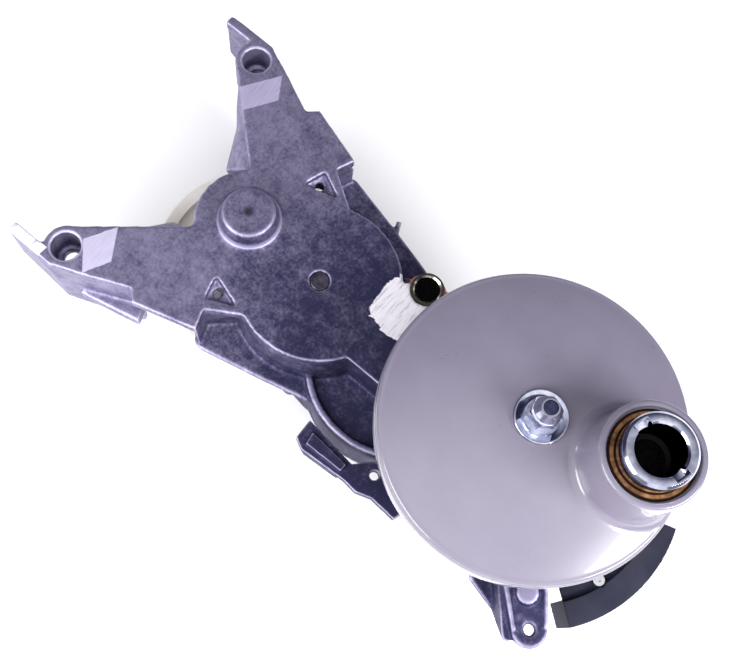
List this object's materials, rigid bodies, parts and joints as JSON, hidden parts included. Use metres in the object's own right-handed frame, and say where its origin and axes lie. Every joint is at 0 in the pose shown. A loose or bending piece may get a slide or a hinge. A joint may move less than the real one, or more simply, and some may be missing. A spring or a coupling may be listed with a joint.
{
  "type": "stand mixer planetary gearbox",
  "caption": "Cast gearbox with a belt pulley, three spur reductions and a turning planet hub whose tool socket rolls round a fixed ring gear.",
  "frame": {"origin": "on the hub's axis, level with the groove round its rim", "axes": "+Z along the hub's axis towards the tool socket, +Y from the hub towards the two rear arms, +X towards the locating bush"},
  "size_m": [0.166, 0.3498, 0.164],
  "materials": {
    "cast_aluminium": "cast, mottled, satin",
    "hub_paint": "smooth gloss lacquer, pale lilac-grey",
    "bright_chrome": "turned and polished",
    "bronze": "oiled sintered bronze",
    "copper": "copper, dull",
    "plated_steel": "zinc plated",
    "ground_steel": "ground",
    "gear_steel": "hobbed, oiled",
    "bearing_steel": "ground rings with dark shields",
    "bush_steel": "dark bush with a bright edge",
    "spring_steel": "blackened",
    "cream_nylon": "moulded, cream",
    "washer_nylon": "turned, natural",
    "black_shroud": "moulded, satin blue-black",
    "seal_rubber": "nitrile, black"
  },
  "bodies": {
    "housing": {"gear_case": "cast_aluminium", "rear_cover": "cast_aluminium", "cover_gasket": "seal_rubber", "cover_screws": "plated_steel", "cover_dowels": "plated_steel", "ring_gear": "gear_steel", "ring_gear_screws": "plated_steel", "output_bearing_front": "bearing_steel", "output_bearing_rear": "bearing_steel", "output_seal": "seal_rubber", "input_bearing_front": "bearing_steel", "input_bearing_rear": "bearing_steel", "input_seal": "seal_rubber", "intermediate_axle": "ground_steel", "idler_axle": "ground_steel", "locating_bush": "bush_steel", "copper_ring": "copper", "front_shroud": "black_shroud", "shroud_screws": "plated_steel", "side_bracket": "cast_aluminium", "bracket_screw": "plated_steel", "intermediate_washers": "washer_nylon", "idler_washers": "washer_nylon"},
    "planet_hub": {"planet_hub": "hub_paint", "hub_key": "plated_steel", "hub_washer": "bright_chrome", "hub_nut": "bright_chrome", "output_shaft": "ground_steel", "main_gear": "gear_steel", "gear_key": "plated_steel", "output_circlip": "spring_steel", "planet_needle_bush": "bronze", "socket_bush": "bronze"},
    "planet_shaft": {"planet_shaft": "ground_steel", "planet_pinion": "gear_steel", "planet_circlip": "spring_steel", "tool_socket": "bright_chrome", "socket_pin": "plated_steel"},
    "intermediate": {"intermediate_gear": "cream_nylon", "intermediate_pinion": "gear_steel"},
    "idler": {"idler_gear": "gear_steel", "idler_pinion": "gear_steel"},
    "input": {"input_shaft": "ground_steel", "input_pinion": "gear_steel", "belt_pulley": "cream_nylon", "pulley_washer": "plated_steel", "pulley_nut": "plated_steel"}
  },
  "joints": [
    {"name": "hub_spin", "type": "hinge", "parent": "housing", "child": "planet_hub", "pos_m": [0, 0, 0], "axis": [0, 0, 1], "continuous": true},
    {"name": "planet_spin", "type": "hinge", "parent": "planet_hub", "child": "planet_shaft", "pos_m": [0.01035, -0.04379, 0], "axis": [0, 0, 1], "continuous": true},
    {"name": "idler_spin", "type": "hinge", "parent": "housing", "child": "idler", "pos_m": [-0.00403, 0.06788, 0], "axis": [0, 0, 1], "continuous": true},
    {"name": "intermediate_spin", "type": "hinge", "parent": "housing", "child": "intermediate", "pos_m": [-0.0015, 0.12382, 0], "axis": [0, 0, 1], "continuous": true},
    {"name": "input_spin", "type": "hinge", "parent": "housing", "child": "input", "pos_m": [0, 0.1718, 0], "axis": [0, 0, 1], "continuous": true}
  ],
  "couplings": [
    {"joint": "planet_spin", "follows": "hub_spin", "ratio": -4},
    {"joint": "idler_spin", "follows": "hub_spin", "ratio": -1.6154},
    {"joint": "intermediate_spin", "follows": "hub_spin", "ratio": 4.8462},
    {"joint": "input_spin", "follows": "hub_spin", "ratio": -14.538}
  ]
}
